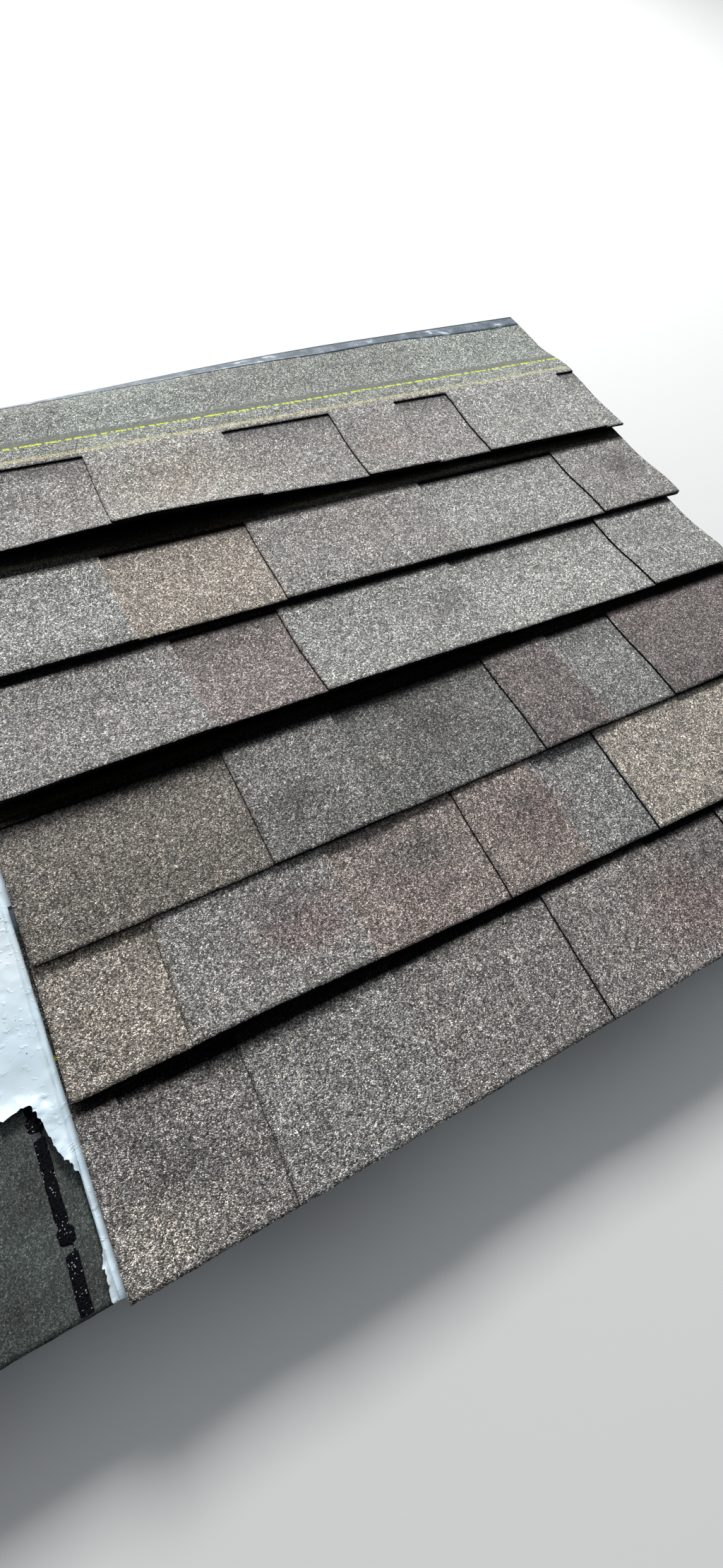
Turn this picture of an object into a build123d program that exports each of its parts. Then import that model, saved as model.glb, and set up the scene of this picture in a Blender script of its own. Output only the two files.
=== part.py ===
from build123d import *
from collections import namedtuple
from math import cos, exp, pi, radians, sin, tan
import os

# Opened layer of wrapped asphalt shingle bundles, with six laminated shingles fanned out on it.
# Origin: centre of the underside of the second bundle from the left, where the fan starts.
# +X runs along the fanned shingles, +Y up the fan, +Z up. Millimetres.

# Laminated shingle
shingle_length = 1000.0
shingle_height = 337.0
ply = 2.8
tooth_height = 145.0
tooth_lean = 3.0
backing_height = 171.0
lamination_gap = 0.1
release_film_width = 16.0
release_film_thickness = 0.3

# Sealant strip on the shingle's back: dashes joined by narrow necks
dash_length = 75.0
dash_pitch = 83.0
dash_width = 9.0
dash_shift = 33.0
neck_width = 3.0
sealant_thickness = 0.7
sealant_edge_distance = 20.0
bond_gap = 0.05

# Wrapped bundle
bundle_count = 4
bundle_gap = 0.5
stack_height = 88.0
film_thickness = 0.8
film_clearance = 0.2
film_headroom = 1.0
film_corner_radius = 1.3
end_hole_width = 170.0
end_hole_height = 44.0

# Tear in the opened bundle's wrapper: how deep it runs down the front end, and its line on top,
# measured left and back from the bundle's front right corner
tear_depth = 30.0
tear_line = ((4.0, -20.0), (5.0, 40.0), (4.0, 96.0), (13.0, 132.0), (22.0, 157.0), (44.0, 158.0),
             (76.0, 171.0), (118.0, 164.0), (166.0, 139.0), (214.0, 118.0), (262.0, 84.0),
             (290.0, 42.0), (312.0, -20.0))

# How the fan lies on the bundles
fan_inset = 7.0
fan_overhang = 6.0
course_gap = 1.0
sag_run = 60.0
curl_reach = 115.0
arch_height = 8.0
arch_span = 250.0
least_droop = 2.0
end_droop = 33.0
end_droop_spread = 430.0
curl_steps = (0.22, 0.48, 0.74, 1.0)
arch_steps = 8
droop_steps = 3
section_steps = (-1.5, -1.0, -0.5, 0.0, 0.5, 1.0, 1.5, 2.2)
least_break = 0.5
cut_margin = 2.0
prism_reach = 120.0

# One course of the fan, bottom course first: where its left butt corner lies from the fan's first
# corner, how many degrees it is turned, how its butt edge has curled up, and where its teeth lie.
Course = namedtuple("Course", "along up turn lift curl curl_at curl_spread teeth")
courses = (
    Course(0.0, 0.0, 0.2, 0.0, 0.0, 0.0, 100.0,
           ((0.0, 35.0), (140.0, 291.0), (469.0, 610.0), (716.0, 884.0))),
    Course(2.0, 149.0, -0.5, 0.0, 12.5, 185.0, 130.0,
           ((106.0, 283.0), (438.0, 542.0), (636.0, 872.0))),
    Course(5.0, 269.0, 0.9, 0.5, 0.0, 0.0, 100.0,
           ((233.0, 362.0), (569.0, 666.0), (770.0, shingle_length))),
    Course(15.0, 430.0, 0.5, 3.0, 14.0, 230.0, 400.0,
           ((0.0, 224.0), (358.0, 603.0), (853.0, shingle_length))),
    Course(33.0, 584.0, -0.1, 1.0, 0.0, 0.0, 100.0,
           ((0.0, 171.0), (360.0, 621.0), (858.0, shingle_length))),
    Course(48.0, 759.0, -0.9, 4.0, 13.5, 240.0, 180.0,
           ((0.0, 40.0), (189.0, 380.0), (545.0, 654.0), (748.0, 963.0))),
)

# Sizes that follow from the ones above
film_allowance = film_thickness + film_clearance
bundle_width = shingle_height + 2 * film_allowance
bundle_length = shingle_length + 2 * film_allowance
stack_bottom = film_allowance
stack_top = stack_bottom + stack_height
bundle_height = stack_top + film_headroom + film_thickness
bundle_pitch = bundle_width + bundle_gap
bundle_centres = [bundle_pitch * (number - 1) for number in range(bundle_count)]
opened_centre = bundle_centres[0]
wrapped_centres = bundle_centres[1:]
opened_right = opened_centre + bundle_width / 2
layer_front = -bundle_length / 2
layer_back = bundle_length / 2
fan_x = opened_right + fan_inset
fan_y = layer_front - fan_overhang


def ease_down(distance, start):
    """1 before start, falling evenly to 0 over the sag run after it."""
    return 1.0 - min(max((distance - start) / sag_run, 0.0), 1.0)


def butt_y(course, x):
    """The y of a course's butt line where it crosses x."""
    return fan_y + course.up + (x - fan_x - course.along) * tan(radians(course.turn))


def butt_point(course, u):
    """Point u along a course's butt line."""
    turn = radians(course.turn)
    return fan_x + course.along + u * cos(turn), fan_y + course.up + u * sin(turn)


def sheet_underside(index, u, s):
    """Height under the toothed sheet of one course, u along it and s up from its butt edge.
    Each course beneath adds its single ply and, near its own butt edge, its backing strip."""
    course = courses[index]
    x, y = butt_point(course, u)
    z = bundle_height + course_gap + (ply + lamination_gap) * ease_down(s, backing_height)
    for lower in courses[:index]:
        offset = y - butt_y(lower, x)
        z += (ply + course_gap) * ease_down(s, shingle_height - offset)
        z += (ply + lamination_gap) * ease_down(s, backing_height - offset)
    curl = course.lift + course.curl * exp(-(((u - course.curl_at) / course.curl_spread) ** 2))
    z += curl * max(1.0 - s / curl_reach, 0.0) ** 2
    if course is courses[-1]:
        z += arch_height * sin(pi * min(s / arch_span, 1.0)) ** 2
        overhang_start = layer_back - y
        droop = least_droop + end_droop * exp(-((u / end_droop_spread) ** 2))
        z -= droop * (max(s - overhang_start, 0.0) / (shingle_height - overhang_start)) ** 2
    return z


def bend_lines(index, u):
    """How far up from the butt edge a course bends, at u along it."""
    course = courses[index]
    x, y = butt_point(course, u)
    bends = [backing_height, backing_height + sag_run]
    for lower in courses[:index]:
        offset = y - butt_y(lower, x)
        bends += [shingle_height - offset, shingle_height - offset + sag_run]
        bends += [backing_height - offset, backing_height - offset + sag_run]
    if course.lift + course.curl > 0.0:
        bends += [curl_reach * step for step in curl_steps]
    if course is courses[-1]:
        bends += [arch_span * step / arch_steps for step in range(1, arch_steps)]
        overhang_start = layer_back - y
        free_run = shingle_height - overhang_start
        bends += [overhang_start + free_run * step / droop_steps for step in range(droop_steps)]
    return bends


def section_points(index, u, low, high):
    """Distances from the butt edge of a section's corners, as many at every u."""
    middle = bend_lines(index, shingle_length / 2)
    inside = [low + least_break < bend < high - least_break for bend in middle]
    kept = sorted(bend for bend, keep in zip(bend_lines(index, u), inside) if keep)
    points = [low]
    for bend in kept:
        points.append(min(max(bend, points[-1] + least_break), high - least_break))
    return points + [high]


def course_slab(index, low, high, rise, thickness):
    """A slab of even thickness over one band of a course, rise above the toothed sheet's underside:
    straight between its bend lines, and lofted between sections where it has curled up."""
    course = courses[index]
    turn = radians(course.turn)
    stations = [0.0, shingle_length]
    if course.curl > 0.0:
        curled = [course.curl_at + step * course.curl_spread for step in section_steps]
        stations += [station for station in curled if least_break < station < shingle_length - least_break]
    sections = []
    for u in sorted(stations):
        points = section_points(index, u, low, high)
        under = [(s, sheet_underside(index, u, s) + rise) for s in points]
        over = [(s, z + thickness) for s, z in reversed(under)]
        across = Plane(origin=(*butt_point(course, u), 0), x_dir=(-sin(turn), cos(turn), 0),
                       z_dir=(cos(turn), sin(turn), 0))
        corners = [across.from_local_coords((s, z, 0)) for s, z in under + over]
        sections.append(Wire.make_polygon(corners, close=True))
    return Solid.make_loft(sections, ruled=True)


def course_plane(course):
    """Plane at a course's left butt corner, its x along the butt edge."""
    turn = radians(course.turn)
    corner = (fan_x + course.along, fan_y + course.up, bundle_height)
    return Plane(origin=corner, x_dir=(cos(turn), sin(turn), 0), z_dir=(0, 0, 1))


def band(low, high):
    """Sketch of a band along the shingle, between two distances from the butt edge."""
    with Locations((shingle_length / 2, (low + high) / 2)):
        Rectangle(shingle_length, high - low)


def recess_outlines(teeth):
    """Sketch of the cut-outs between the teeth, which widen a little towards the butt edge."""
    with Locations((shingle_length / 2, (tooth_height - cut_margin) / 2)):
        Rectangle(shingle_length + 2 * cut_margin, tooth_height + cut_margin)
    for start, end in teeth:
        first = start if start > 0.0 else -cut_margin
        last = end if end < shingle_length else shingle_length + cut_margin
        Polygon((first, tooth_height), (first - tooth_lean, -cut_margin),
                (last + tooth_lean, -cut_margin), (last, tooth_height),
                align=None, mode=Mode.SUBTRACT)


def sealant_outline():
    """Sketch of the sealant strip beside the butt edge, cut off with the shingle at both ends."""
    dash_count = 2 * round(shingle_length / dash_pitch / 2 + 1)
    with Locations((shingle_length / 2 + dash_shift, sealant_edge_distance)):
        with GridLocations(dash_pitch, 1, dash_count, 1):
            Rectangle(dash_length, dash_width)
    with Locations((shingle_length / 2, sealant_edge_distance)):
        Rectangle(shingle_length, neck_width)
        Rectangle(shingle_length, dash_width, mode=Mode.INTERSECT)


os.makedirs("parts", exist_ok=True)

# The fanned shingles: each is a toothed sheet laminated over a backing strip
release_films = []
sealant_strips = []
backing_rise = -lamination_gap - ply
film_rise = ply + bond_gap
sealant_rise = backing_rise - bond_gap - sealant_thickness
for index, course in enumerate(courses):
    number = index + 1
    plane = course_plane(course)

    with BuildPart() as toothed_sheet:
        add(course_slab(index, 0.0, shingle_height, 0.0, ply))
        with BuildSketch(plane):
            recess_outlines(course.teeth)
        extrude(amount=prism_reach, both=True, mode=Mode.SUBTRACT)
    toothed_sheet.part.label = f"toothed_sheet_{number}"
    export_step(toothed_sheet.part, f"parts/toothed_sheet_{number}.step")

    with BuildPart() as backing_strip:
        add(course_slab(index, 0.0, backing_height, backing_rise, ply))
    backing_strip.part.label = f"backing_strip_{number}"
    export_step(backing_strip.part, f"parts/backing_strip_{number}.step")

    film_low = shingle_height - release_film_width
    with BuildPart() as release_film:
        add(course_slab(index, film_low, shingle_height, film_rise, release_film_thickness))
    release_films += release_film.part.solids()

    sealant_low = sealant_edge_distance - dash_width
    sealant_high = sealant_edge_distance + dash_width
    with BuildPart() as sealant:
        add(course_slab(index, sealant_low, sealant_high, sealant_rise, sealant_thickness))
        with BuildSketch(plane):
            sealant_outline()
        extrude(amount=prism_reach, both=True, mode=Mode.INTERSECT)
    sealant_strips += sealant.part.solids()

fan_release_films = Compound(label="release_films", children=release_films)
export_step(fan_release_films, "parts/release_films.step")

fan_sealant_strips = Compound(label="sealant_strips", children=sealant_strips)
export_step(fan_sealant_strips, "parts/sealant_strips.step")

# The stacks inside the closed wrappers
stands = (Align.CENTER, Align.CENTER, Align.MIN)
with BuildPart() as wrapped_stacks:
    with Locations([(centre, 0, stack_bottom) for centre in wrapped_centres]):
        Box(shingle_height, shingle_length, stack_height, align=stands)
wrapped_stacks.part.label = "wrapped_stacks"
export_step(wrapped_stacks.part, "parts/wrapped_stacks.step")

# The opened bundle: its top shingle lies face down on the rest of the stack
facedown_sheet_top = stack_top - ply - lamination_gap
opened_stack_height = stack_height - 2 * ply - lamination_gap - film_clearance
facedown_butt_x = opened_centre + shingle_height / 2
facedown_teeth = courses[-1].teeth


def facedown_plane(height):
    """Plane at the face-down shingle's back butt corner: x runs forwards, y away from the butt."""
    return Plane(origin=(facedown_butt_x, shingle_length / 2, height), x_dir=(0, -1, 0), z_dir=(0, 0, -1))


with BuildPart() as opened_stack:
    with Locations((opened_centre, 0, stack_bottom)):
        Box(shingle_height, shingle_length, opened_stack_height, align=stands)
opened_stack.part.label = "opened_stack"
export_step(opened_stack.part, "parts/opened_stack.step")

with BuildPart() as facedown_toothed_sheet:
    with BuildSketch(facedown_plane(facedown_sheet_top)):
        band(0.0, shingle_height)
    extrude(amount=ply)
    with BuildSketch(facedown_plane(facedown_sheet_top + cut_margin)):
        recess_outlines(facedown_teeth)
    extrude(amount=ply + 2 * cut_margin, mode=Mode.SUBTRACT)
facedown_toothed_sheet.part.label = "facedown_toothed_sheet"
export_step(facedown_toothed_sheet.part, "parts/facedown_toothed_sheet.step")

with BuildPart() as facedown_backing_strip:
    with BuildSketch(facedown_plane(stack_top)):
        band(0.0, backing_height)
    extrude(amount=ply)
facedown_backing_strip.part.label = "facedown_backing_strip"
export_step(facedown_backing_strip.part, "parts/facedown_backing_strip.step")

with BuildPart() as facedown_sealant:
    with BuildSketch(facedown_plane(stack_top + bond_gap + sealant_thickness)):
        sealant_outline()
    extrude(amount=sealant_thickness)
facedown_sealant.part.label = "facedown_sealant"
export_step(facedown_sealant.part, "parts/facedown_sealant.step")


def film_sleeves(centres):
    """The wrappers: a film sleeve drawn in over both ends of each stack, round an oval hole."""
    places = [(centre, bundle_height / 2) for centre in centres]
    inner_width = bundle_width - 2 * film_thickness
    inner_height = bundle_height - 2 * film_thickness
    with BuildPart() as sleeves:
        with BuildSketch(Plane.XZ):
            with Locations(places):
                RectangleRounded(bundle_width, bundle_height, film_corner_radius)
        extrude(amount=bundle_length / 2, both=True)
        with BuildSketch(Plane.XZ):
            with Locations(places):
                RectangleRounded(inner_width, inner_height, film_corner_radius - film_thickness)
        extrude(amount=bundle_length / 2 - film_thickness, both=True, mode=Mode.SUBTRACT)
        with BuildSketch(Plane.XZ):
            with Locations(places):
                SlotOverall(end_hole_width, end_hole_height)
        extrude(amount=bundle_length, both=True, mode=Mode.SUBTRACT)
    return sleeves.part


with BuildPart() as bundle_wrappers:
    add(film_sleeves(wrapped_centres))
bundle_wrappers.part.label = "bundle_wrappers"
export_step(bundle_wrappers.part, "parts/bundle_wrappers.step")

with BuildPart() as torn_wrapper:
    add(film_sleeves([opened_centre]))
    with BuildSketch(Plane.XY.offset(bundle_height - tear_depth)):
        with BuildLine():
            Polyline([(opened_right - left, layer_front + back) for left, back in tear_line], close=True)
        make_face()
    extrude(amount=2 * tear_depth, mode=Mode.SUBTRACT)
torn_wrapper.part.label = "torn_wrapper"
export_step(torn_wrapper.part, "parts/torn_wrapper.step")
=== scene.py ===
from math import cos, pi, radians, sin, sqrt

import bpy
import numpy as np
from mathutils import Matrix, Vector, noise
from mathutils.bvhtree import BVHTree


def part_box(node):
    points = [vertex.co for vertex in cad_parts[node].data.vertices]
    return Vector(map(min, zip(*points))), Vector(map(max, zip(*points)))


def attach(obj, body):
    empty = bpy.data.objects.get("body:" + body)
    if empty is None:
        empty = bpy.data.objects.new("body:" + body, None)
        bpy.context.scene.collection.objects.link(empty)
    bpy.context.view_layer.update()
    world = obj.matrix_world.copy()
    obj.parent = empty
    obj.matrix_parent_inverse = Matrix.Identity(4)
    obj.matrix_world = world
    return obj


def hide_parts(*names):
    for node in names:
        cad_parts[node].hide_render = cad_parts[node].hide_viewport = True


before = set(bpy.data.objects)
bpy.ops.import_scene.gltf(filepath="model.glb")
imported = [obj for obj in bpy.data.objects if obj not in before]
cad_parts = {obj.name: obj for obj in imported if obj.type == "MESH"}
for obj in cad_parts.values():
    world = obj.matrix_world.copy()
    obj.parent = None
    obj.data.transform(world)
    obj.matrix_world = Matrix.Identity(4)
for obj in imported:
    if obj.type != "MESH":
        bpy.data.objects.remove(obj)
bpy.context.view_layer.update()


# ---- The stacks in the wrappers ----
# Each bundle is a stack of asphalt-coated glass mat, seen by its cut ends through the holes of
# the wrapper. The plies were cut by a rotary knife and piled by machine, so their ends are a
# little ragged and don't quite line up.
bundle_count = 4
ply = 0.0028
ply_gap = 0.00006
end_inset = 0.0025
end_shuffle = 0.0016
side_shuffle = 0.4 * end_shuffle
end_point_step = 0.006
side_point_step = 0.05

# How far the knife tore the cut ends, and its tears per metre
knife_tear = 0.0005
knife_tears = 260.0


def feed(tree, socket, value):
    """Links a socket to another node's result, or sets it to a plain value."""
    if isinstance(value, bpy.types.NodeSocket):
        tree.links.new(value, socket)
    else:
        socket.default_value = value


def node(tree, kind, settings=None, **inputs):
    """A shader node with its settings, and its inputs fed by name."""
    made = tree.nodes.new(kind)
    for key, value in (settings or {}).items():
        setattr(made, key, value)
    for key, value in inputs.items():
        feed(tree, made.inputs[key.replace("_", " ")], value)
    return made


def calculate(tree, operation, *values, kind="ShaderNodeMath"):
    """The result of a math node, or of a vector math node."""
    made = node(tree, kind, {"operation": operation})
    for socket, value in zip(made.inputs, values):
        feed(tree, socket, value)
    return made.outputs[0]


def blend(tree, amount, first, second, kind="MIX"):
    """One colour mixed into another."""
    made = node(tree, "ShaderNodeMix", {"data_type": "RGBA", "blend_type": kind})
    for socket, value in zip((made.inputs[0], made.inputs[6], made.inputs[7]), (amount, first, second)):
        feed(tree, socket, (*value, 1.0) if isinstance(value, tuple) else value)
    return made.outputs[2]


def multiply(tree, colour, tone):
    """A colour times another colour or a tone of grey."""
    return blend(tree, 1.0, colour, tone, "MULTIPLY")


def ramp(tree, value, stops, interpolation="LINEAR"):
    """A value turned into a colour or a tone of grey through (place, colour) stops."""
    made = tree.nodes.new("ShaderNodeValToRGB")
    made.color_ramp.interpolation = interpolation
    elements = made.color_ramp.elements
    while len(elements) < len(stops):
        elements.new(1.0)
    for element, (place, colour) in zip(elements, stops):
        element.position = place
        element.color = (*colour, 1.0) if isinstance(colour, tuple) else (colour, colour, colour, 1.0)
    tree.links.new(value, made.inputs[0])
    return made.outputs[0]


def new_material(name, roughness, specular):
    """An empty material with a principled shader. Returns it, its node tree and the shader."""
    material = bpy.data.materials.new(name)
    material.use_nodes = True
    tree = material.node_tree
    shader = tree.nodes["Principled BSDF"]
    shader.inputs["Roughness"].default_value = roughness
    shader.inputs["Specular IOR Level"].default_value = specular
    return material, tree, shader


def raise_relief(tree, shader, height, distance):
    """Bump on a shader from a height, distance high in metres where the height is 1."""
    bump = node(tree, "ShaderNodeBump", Height=height, Distance=distance)
    tree.links.new(bump.outputs[0], shader.inputs["Normal"])


def place_of(tree):
    """Where a point is on the object, in metres."""
    return tree.nodes.new("ShaderNodeTexCoord").outputs["Object"]


# Torn asphalt with a few pale grains in it
stack_edge, tree, shader = new_material("ply_edges", 0.8, 0.3)
place = place_of(tree)
coating = node(tree, "ShaderNodeTexNoise", Vector=place, Scale=900.0, Detail=3.0)
grains = node(tree, "ShaderNodeTexVoronoi", Vector=place, Scale=700.0)
grain_tone = ramp(tree, grains.outputs["Color"], ((0.0, 0.012), (0.62, 0.03), (0.75, 0.11), (1.0, 0.26)))
asphalt = ramp(tree, coating.outputs["Fac"], ((0.35, (0.008, 0.008, 0.009)), (0.7, (0.035, 0.034, 0.033))))
tree.links.new(blend(tree, 0.6, asphalt, grain_tone), shader.inputs["Base Color"])
raise_relief(tree, shader, coating.outputs["Fac"], 0.0008)


def shaded_mesh(name, points, faces, materials, face_material=None, smooth=None):
    """A new object from points and faces. smooth and face_material hold one entry per face."""
    mesh = bpy.data.meshes.new(name)
    mesh.from_pydata(points, [], faces)
    for material in materials:
        mesh.materials.append(material)
    if face_material is not None:
        mesh.polygons.foreach_set("material_index", face_material)
    mesh.polygons.foreach_set("use_smooth", np.ones(len(faces), bool) if smooth is None else smooth)
    mesh.update()
    piece = bpy.data.objects.new(name, mesh)
    bpy.context.scene.collection.objects.link(piece)
    return piece


def finish_piece(piece, slot, *nodes):
    """A finished piece stands for CAD nodes, whose parts it hides, and rides on the body. slot is not used.
    """
    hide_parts(*nodes)
    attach(piece, "root")


def stack_plies(low, high, points, faces):
    """Adds the plies of one stack, each a slab with its own ragged outline."""
    count = round((high.z - low.z) / ply)
    pitch = (high.z - low.z) / count
    for index in range(count):
        bottom = low.z + index * pitch
        top = bottom + pitch - ply_gap
        front = end_inset + end_shuffle * abs(noise.noise((index * 1.7, low.x * 9.0, 0.3)))
        back = end_inset + end_shuffle * abs(noise.noise((index * 1.3, low.x * 7.0, 5.1)))
        side = side_shuffle * abs(noise.noise((index * 1.9, low.x, 9.4)))
        xs = np.linspace(low.x + side, high.x - side, round((high.x - low.x) / end_point_step))
        ys = np.linspace(low.y + front, high.y - back, round((high.y - low.y) / side_point_step))
        ring = [(x, ys[0] + knife_tear * noise.noise((x * knife_tears, index, 0.0))) for x in xs]
        ring += [(xs[-1], y) for y in ys[1:-1]]
        ring += [(x, ys[-1] - knife_tear * noise.noise((x * knife_tears, index, 7.0))) for x in xs[::-1]]
        ring += [(xs[0], y) for y in ys[-2:0:-1]]
        start = len(points)
        size = len(ring)
        points += [(x, y, bottom) for x, y in ring] + [(x, y, top) for x, y in ring]
        faces += [(start + i, start + (i + 1) % size, start + size + (i + 1) % size, start + size + i)
                  for i in range(size)]
        faces.append(tuple(start + size + i for i in range(size)))
        faces.append(tuple(start + i for i in reversed(range(size))))


def stack_piece(name, points, faces):
    """The mesh of one or more stacks, with flat faces."""
    return shaded_mesh(name, points, faces, [stack_edge], smooth=np.zeros(len(faces), bool))


opened_low, opened_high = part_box("torn_wrapper")
layer_low, layer_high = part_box("bundle_wrappers")
bundle_pitch = (layer_high.x - opened_high.x) / (bundle_count - 1)
stack_low, stack_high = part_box("opened_stack")
wrapped_low, wrapped_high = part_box("wrapped_stacks")

points, faces = [], []
stack_plies(stack_low, stack_high, points, faces)
opened_stack = stack_piece("opened_shingle_stack", points, faces)
finish_piece(opened_stack, "stack", "opened_stack")

points, faces = [], []
for number in range(1, bundle_count):
    low = Vector((stack_low.x + number * bundle_pitch, wrapped_low.y, wrapped_low.z))
    high = Vector((stack_high.x + number * bundle_pitch, wrapped_high.y, wrapped_high.z))
    stack_plies(low, high, points, faces)
wrapped_stacks = stack_piece("wrapped_shingle_stacks", points, faces)
finish_piece(wrapped_stacks, "stack", "wrapped_stacks")


# ---- The face-down shingle ----
# The opened bundle's top shingle lies face down: its toothed sheet, with the backing strip that
# is glued under the teeth. Its back is asphalt dusted with fine dark green-grey mineral. A place
# on a shingle is u, along it from its first end, and s, up it from its butt edge.
shingle_length = 1.0
shingle_height = 0.337
tooth_height = 0.145
tooth_lean = 0.003
backing_height = 0.171
lamination_gap = 0.0001
top_teeth = ((0.0, 0.040), (0.189, 0.380), (0.545, 0.654), (0.748, 0.963))
column_step = 0.005
row_step = 0.005
ripple_height = 0.0003

# How far the cut edges wander, and their waves per metre
cut_wander = 0.0009
side_wander = 0.5 * cut_wander
side_waves = 160.0
butt_waves = (30.0, 210.0)
top_waves = 90.0


def wander(values, scale, seed):
    """Smooth noise between -1 and 1 along a row of values."""
    return np.array([noise.noise((float(value) * scale, seed, 0.37)) for value in values])


def steps_between(low, high, step):
    """Even steps from low up to but not including high."""
    return np.linspace(low, high, max(1, round((high - low) / step)), endpoint=False)


def cut_places(teeth):
    """Where the teeth and recesses of a shingle begin and end along it."""
    return sorted({0.0, shingle_length, *(edge for tooth in teeth for edge in tooth)})


def shingle_grid(teeth, seed):
    """u and s of a shingle's grid points, row by row from the butt edge, which columns are teeth,
    and how many rows lie below the top of the teeth and of the backing strip. The columns follow
    the cut sides of the teeth, which widen towards the butt edge."""
    edges = cut_places(teeth)
    starts = {start for start, end in teeth}
    columns, in_tooth = [], []
    for low, high in zip(edges, edges[1:]):
        part = steps_between(low, high, column_step)
        columns.append(part)
        in_tooth += [low in starts] * len(part)
    columns = np.append(np.concatenate(columns), shingle_length)
    lean = [0.0 if edge in (0.0, shingle_length) else -tooth_lean if edge in starts else tooth_lean
            for edge in edges]
    lower = steps_between(0.0, tooth_height, row_step)
    middle = steps_between(tooth_height, backing_height, row_step)
    upper = steps_between(backing_height, shingle_height, row_step)
    rows = np.concatenate([lower, middle, upper, [shingle_height]])
    u, s = np.meshgrid(columns, rows)
    u = u + np.interp(u, edges, lean) * np.clip(1.0 - s / tooth_height, 0.0, 1.0)
    cut = np.isin(columns, edges)
    u[:, cut] += side_wander * np.array([wander(rows, side_waves, seed + i) for i in range(cut.sum())]).T
    long_waves = 0.6 * wander(columns, butt_waves[0], seed + 31.0)
    s[0] += cut_wander * (long_waves + 0.6 * wander(columns, butt_waves[1], seed + 47.0))
    s[-1] += cut_wander * wander(columns, top_waves, seed + 53.0)
    return u, s, np.array(in_tooth), len(lower), len(lower) + len(middle)


def grid_faces(shape):
    """The point numbers at the four corners of each cell of a grid of points."""
    number = np.arange(shape[0] * shape[1]).reshape(shape)
    return np.stack([number[:-1, :-1], number[:-1, 1:], number[1:, 1:], number[1:, :-1]], -1)


def ply_piece(name, x, y, top, thickness, keep, u, s, materials, tint=None, painted_highlight=None):
    """A ply of even thickness from grids of plan places and top heights. Cells that aren't kept
    are cut away. materials are those of its top, its underside and its cut edges, tint is its colour
    with a painted shadow as a fourth value, and the last argument is 1 along the edges where a highlight is
    painted."""
    turned = (x[0, 1] - x[0, 0]) * (y[1, 0] - y[0, 0]) - (y[0, 1] - y[0, 0]) * (x[1, 0] - x[0, 0]) < 0.0
    points = np.concatenate([np.stack([x, y, top], -1).reshape(-1, 3),
                             np.stack([x, y, top - thickness], -1).reshape(-1, 3)])
    cells = grid_faces(x.shape)
    top_faces = cells[keep]
    under = x.size
    faces = [top_faces, top_faces[:, ::-1] + under]
    padded = np.pad(keep, 1)
    sides = ((padded[:-2, 1:-1], 0, 1), (padded[1:-1, 2:], 1, 2),
             (padded[2:, 1:-1], 2, 3), (padded[1:-1, :-2], 3, 0))
    for neighbour, first, second in sides:
        open_side = keep & ~neighbour
        a, b = cells[open_side, first], cells[open_side, second]
        faces.append(np.stack([b, a, a + under, b + under], -1))
    if turned:
        faces = [part[:, ::-1] for part in faces]
    kind = np.concatenate([np.full(len(part), min(i, 2)) for i, part in enumerate(faces)])
    used, faces = np.unique(np.concatenate(faces), return_inverse=True)
    faces = faces.reshape(-1, 4)
    piece = shaded_mesh(name, points[used].tolist(), faces.tolist(), materials, kind, kind < 2)
    places = np.tile(np.stack([u, s], -1).reshape(-1, 2), (2, 1))[used]
    layout = piece.data.uv_layers.new(name="layout")
    layout.data.foreach_set("uv", places[faces.ravel()].astype(np.float32).ravel())
    if tint is not None:
        colour = np.tile(tint.reshape(-1, 4), (2, 1))[used]
        layer = piece.data.attributes.new("tint", "FLOAT_COLOR", "POINT")
        layer.data.foreach_set("color", colour.astype(np.float32).ravel())
        layer = piece.data.attributes.new("painted_highlight", "FLOAT", "POINT")
        layer.data.foreach_set("value", np.tile(painted_highlight.ravel(), 2)[used].astype(np.float32))
    return piece


# Fine mineral dust with paler flecks, worn in patches
mineral_back, tree, shader = new_material("mineral_back", 0.85, 0.3)
place = place_of(tree)
dust = node(tree, "ShaderNodeTexNoise", Vector=place, Scale=1400.0, Detail=2.0)
patches = node(tree, "ShaderNodeTexNoise", Vector=place, Scale=22.0, Detail=4.0)
flecks = node(tree, "ShaderNodeTexVoronoi", Vector=place, Scale=880.0)
dusted = ramp(tree, dust.outputs["Fac"], ((0.3, (0.030, 0.036, 0.036)), (0.7, (0.138, 0.160, 0.154))))
fleck_tone = ramp(tree, flecks.outputs["Color"], ((0.0, 0.35), (0.45, 0.72), (0.8, 1.35), (1.0, 2.9)))
worn = ramp(tree, patches.outputs["Fac"], ((0.3, (0.66, 0.62, 0.60)), (0.7, (1.24, 1.26, 1.22))))
tree.links.new(multiply(tree, multiply(tree, dusted, fleck_tone), worn), shader.inputs["Base Color"])
raise_relief(tree, shader, dust.outputs["Fac"], 0.0009)

# Black asphalt with a few crumbs of mineral. The asphalt is painted darker than it is, as painted shade on
# the butt edges
cut_edge, tree, shader = new_material("cut_edge", 0.85, 0.12)
place = place_of(tree)
coating = node(tree, "ShaderNodeTexNoise", Vector=place, Scale=800.0, Detail=4.0)
crumbs = node(tree, "ShaderNodeTexVoronoi", Vector=place, Scale=650.0)
crumb = ramp(tree, crumbs.outputs["Color"], ((0.86, 0.0), (0.94, 1.0)))
asphalt_and_painted_shade = ramp(tree, coating.outputs["Fac"], ((0.3, (0.003, 0.003, 0.003)), (0.75, (0.011, 0.010, 0.010))))
tree.links.new(blend(tree, crumb, asphalt_and_painted_shade, (0.06, 0.058, 0.055)), shader.inputs["Base Color"])
raise_relief(tree, shader, crumbs.outputs["Distance"], 0.0012)

_, facedown_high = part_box("facedown_backing_strip")
_, sheet_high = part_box("facedown_toothed_sheet")


def facedown_place(u, s):
    """Plan place of (u, s) on the face-down shingle, whose butt edge lies to the right."""
    return facedown_high.x - s, facedown_high.y - u


def ripple(u, s):
    """The slight waves of a sheet that lies loose."""
    return ripple_height * np.sin(u * 41.0) * np.cos(s * 23.0)


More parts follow.
